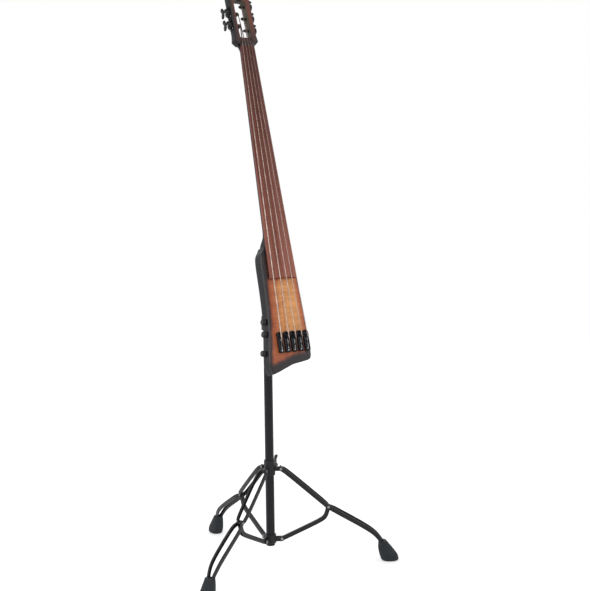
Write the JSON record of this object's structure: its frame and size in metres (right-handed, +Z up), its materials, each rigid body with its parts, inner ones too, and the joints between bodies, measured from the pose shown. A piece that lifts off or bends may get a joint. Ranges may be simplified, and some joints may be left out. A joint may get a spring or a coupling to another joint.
{
  "type": "electric upright bass",
  "caption": "Slim fretless electric upright bass with slotted head and single-string bridges, leaning back on a folding tripod with double-bar legs.",
  "frame": {"origin": "on the floor, under the middle of the whole object's box", "axes": "+Z up; the strings face -Y and the low string is towards -X"},
  "size_m": [0.669, 0.5835, 1.7097],
  "materials": {
    "neck_wood": "satin dark stain over maple, darker towards the nut",
    "body_lacquer": "charcoal satin lacquer",
    "top_figured": "gloss amber burst to red orange over figured maple, dark border",
    "board_wood": "oiled reddish brown, satin",
    "nut_black": "smooth black",
    "string_steel": "flat-wound steel",
    "bridge_black": "black anodised, satin",
    "tuner_black": "black plated, semi-gloss",
    "control_black": "moulded black, fine texture",
    "jack_black": "black plated",
    "stand_black": "satin black powder coat",
    "tube_black": "satin black",
    "screw_black": "moulded black over a steel thread",
    "boot_rubber": "matt dark slate"
  },
  "bodies": {
    "stand": {"outer_tube": "tube_black", "height_clamp": "stand_black", "brace_hub": "stand_black"},
    "collar": {"leg_collar": "stand_black"},
    "collar_lock": {"collar_screw": "screw_black"},
    "height_lock": {"height_screw": "screw_black"},
    "upper_post": {"inner_tube": "tube_black", "tilt_head": "stand_black"},
    "instrument": {"neck_through": "neck_wood", "bass_wing": "body_lacquer", "treble_wing": "body_lacquer", "top_plate": "top_figured", "fingerboard": "board_wood", "nut": "nut_black", "control_cover": "control_black", "output_jack": "jack_black", "mount_plate": "stand_black", "bridge_base_1": "bridge_black", "bridge_base_2": "bridge_black", "bridge_base_3": "bridge_black", "bridge_base_4": "bridge_black", "bridge_base_5": "bridge_black", "string_1": "string_steel", "string_2": "string_steel", "string_3": "string_steel", "string_4": "string_steel", "string_5": "string_steel", "tuner_plate_1": "tuner_black", "tuner_plate_2": "tuner_black", "tuner_plate_3": "tuner_black", "tuner_plate_4": "tuner_black", "tuner_plate_5": "tuner_black"},
    "tilt_lock": {"tilt_knob": "screw_black"},
    "right_leg_body": {"right_leg": "stand_black", "right_boot": "boot_rubber"},
    "right_brace_body": {"right_brace": "stand_black"},
    "rear_leg_body": {"rear_leg": "stand_black", "rear_boot": "boot_rubber"},
    "rear_brace_body": {"rear_brace": "stand_black"},
    "left_leg_body": {"left_leg": "stand_black", "left_boot": "boot_rubber"},
    "left_brace_body": {"left_brace": "stand_black"},
    "control_1": {"knob_1": "control_black"},
    "control_2": {"knob_2": "control_black"},
    "control_3": {"knob_3": "control_black"},
    "saddle_1": {"bridge_saddle_1": "bridge_black"},
    "key_1": {"tuner_key_1": "tuner_black"},
    "wheel_1": {"tuner_post_1": "tuner_black"},
    "saddle_2": {"bridge_saddle_2": "bridge_black"},
    "key_2": {"tuner_key_2": "tuner_black"},
    "wheel_2": {"tuner_post_2": "tuner_black"},
    "saddle_3": {"bridge_saddle_3": "bridge_black"},
    "key_3": {"tuner_key_3": "tuner_black"},
    "wheel_3": {"tuner_post_3": "tuner_black"},
    "saddle_4": {"bridge_saddle_4": "bridge_black"},
    "key_4": {"tuner_key_4": "tuner_black"},
    "wheel_4": {"tuner_post_4": "tuner_black"},
    "saddle_5": {"bridge_saddle_5": "bridge_black"},
    "key_5": {"tuner_key_5": "tuner_black"},
    "wheel_5": {"tuner_post_5": "tuner_black"}
  },
  "joints": [
    {"name": "collar_slide", "type": "slide", "parent": "stand", "child": "collar", "axis": [0, 0, 1], "range_m": [0, 0.137]},
    {"name": "right_leg_fold", "type": "hinge", "parent": "collar", "child": "right_leg_body", "pos_m": [0.02944, -0.1072, 0.2855], "axis": [0.5, 0.866, 0], "range_deg": [-0.5, 46.5]},
    {"name": "right_brace_fold", "type": "hinge", "parent": "stand", "child": "right_brace_body", "pos_m": [0.02944, -0.1072, 0.073], "axis": [0.5, 0.866, 0], "range_deg": [-52, 0.5]},
    {"name": "rear_leg_fold", "type": "hinge", "parent": "collar", "child": "rear_leg_body", "pos_m": [0, -0.0562, 0.2855], "axis": [-1, 0, 0], "range_deg": [-0.5, 46.5]},
    {"name": "rear_brace_fold", "type": "hinge", "parent": "stand", "child": "rear_brace_body", "pos_m": [0, -0.0562, 0.073], "axis": [-1, 0, 0], "range_deg": [-52, 0.5]},
    {"name": "left_leg_fold", "type": "hinge", "parent": "collar", "child": "left_leg_body", "pos_m": [-0.02944, -0.1072, 0.2855], "axis": [0.5, -0.866, 0], "range_deg": [-0.5, 46.5]},
    {"name": "left_brace_fold", "type": "hinge", "parent": "stand", "child": "left_brace_body", "pos_m": [-0.02944, -0.1072, 0.073], "axis": [0.5, -0.866, 0], "range_deg": [-52, 0.5]},
    {"name": "collar_screw_turn", "type": "hinge", "parent": "collar", "child": "collar_lock", "pos_m": [0, -0.0902, 0.3017], "axis": [0.866, 0.5, 0], "continuous": true},
    {"name": "height_screw_turn", "type": "hinge", "parent": "stand", "child": "height_lock", "pos_m": [0, -0.0902, 0.7189], "axis": [1, 0, 0], "continuous": true},
    {"name": "height_slide", "type": "slide", "parent": "stand", "child": "upper_post", "axis": [0, 0, 1], "range_m": [-0.03, 0.3]},
    {"name": "instrument_tilt", "type": "hinge", "parent": "upper_post", "child": "instrument", "pos_m": [0, -0.1037, 0.8265], "axis": [1, 0, 0], "range_deg": [-15, 17]},
    {"name": "tilt_knob_turn", "type": "hinge", "parent": "instrument", "child": "tilt_lock", "pos_m": [0, -0.1037, 0.8265], "axis": [1, 0, 0], "continuous": true},
    {"name": "knob_turn_1", "type": "hinge", "parent": "instrument", "child": "control_1", "pos_m": [-0.06724, -0.19512, 0.73654], "axis": [-0.9961, 0.0248, 0.085], "range_deg": [-150, 150]},
    {"name": "knob_turn_2", "type": "hinge", "parent": "instrument", "child": "control_2", "pos_m": [-0.07115, -0.20495, 0.70295], "axis": [-0.9903, 0.0389, 0.1331], "range_deg": [-150, 150]},
    {"name": "knob_turn_3", "type": "hinge", "parent": "instrument", "child": "control_3", "pos_m": [-0.08023, -0.21406, 0.6504], "axis": [-0.9831, 0.0514, 0.1759], "range_deg": [-150, 150]},
    {"name": "saddle_slide_1", "type": "slide", "parent": "instrument", "child": "saddle_1", "axis": [0, 0.2807, 0.9598], "range_m": [-0.002, 0.002]},
    {"name": "saddle_slide_2", "type": "slide", "parent": "instrument", "child": "saddle_2", "axis": [0, 0.2807, 0.9598], "range_m": [-0.002, 0.002]},
    {"name": "saddle_slide_3", "type": "slide", "parent": "instrument", "child": "saddle_3", "axis": [0, 0.2807, 0.9598], "range_m": [-0.002, 0.002]},
    {"name": "saddle_slide_4", "type": "slide", "parent": "instrument", "child": "saddle_4", "axis": [0, 0.2807, 0.9598], "range_m": [-0.002, 0.002]},
    {"name": "saddle_slide_5", "type": "slide", "parent": "instrument", "child": "saddle_5", "axis": [0, 0.2807, 0.9598], "range_m": [-0.002, 0.002]},
    {"name": "key_turn_1", "type": "hinge", "parent": "instrument", "child": "key_1", "pos_m": [-0.03845, 0.04217, 1.60191], "axis": [0, 0.9438, -0.3305], "continuous": true},
    {"name": "wheel_turn_1", "type": "hinge", "parent": "instrument", "child": "wheel_1", "pos_m": [0.002, 0.03737, 1.58822], "axis": [1, 0, 0], "continuous": true},
    {"name": "key_turn_2", "type": "hinge", "parent": "instrument", "child": "key_2", "pos_m": [-0.03845, 0.05489, 1.63824], "axis": [0, 0.9438, -0.3305], "continuous": true},
    {"name": "wheel_turn_2", "type": "hinge", "parent": "instrument", "child": "wheel_2", "pos_m": [0.002, 0.0501, 1.62456], "axis": [1, 0, 0], "continuous": true},
    {"name": "key_turn_3", "type": "hinge", "parent": "instrument", "child": "key_3", "pos_m": [0.04245, 0.06349, 1.66278], "axis": [0, 0.9438, -0.3305], "continuous": true},
    {"name": "wheel_turn_3", "type": "hinge", "parent": "instrument", "child": "wheel_3", "pos_m": [0.002, 0.05869, 1.6491], "axis": [1, 0, 0], "continuous": true},
    {"name": "key_turn_4", "type": "hinge", "parent": "instrument", "child": "key_4", "pos_m": [0.04245, 0.05076, 1.62645], "axis": [0, 0.9438, -0.3305], "continuous": true},
    {"name": "wheel_turn_4", "type": "hinge", "parent": "instrument", "child": "wheel_4", "pos_m": [0.002, 0.04597, 1.61276], "axis": [1, 0, 0], "continuous": true},
    {"name": "key_turn_5", "type": "hinge", "parent": "instrument", "child": "key_5", "pos_m": [0.04245, 0.03804, 1.59011], "axis": [0, 0.9438, -0.3305], "continuous": true},
    {"name": "wheel_turn_5", "type": "hinge", "parent": "instrument", "child": "wheel_5", "pos_m": [0.002, 0.03324, 1.57643], "axis": [1, 0, 0], "continuous": true}
  ],
  "couplings": [
    {"joint": "right_leg_fold", "follows": "collar_slide", "rad_per_m": 5.86},
    {"joint": "right_brace_fold", "follows": "collar_slide", "rad_per_m": -6.567},
    {"joint": "rear_leg_fold", "follows": "collar_slide", "rad_per_m": 5.86},
    {"joint": "rear_brace_fold", "follows": "collar_slide", "rad_per_m": -6.567},
    {"joint": "left_leg_fold", "follows": "collar_slide", "rad_per_m": 5.86},
    {"joint": "left_brace_fold", "follows": "collar_slide", "rad_per_m": -6.567},
    {"joint": "wheel_turn_1", "follows": "key_turn_1", "ratio": 0.0625},
    {"joint": "wheel_turn_2", "follows": "key_turn_2", "ratio": 0.0625},
    {"joint": "wheel_turn_3", "follows": "key_turn_3", "ratio": -0.0625},
    {"joint": "wheel_turn_4", "follows": "key_turn_4", "ratio": -0.0625},
    {"joint": "wheel_turn_5", "follows": "key_turn_5", "ratio": -0.0625}
  ]
}
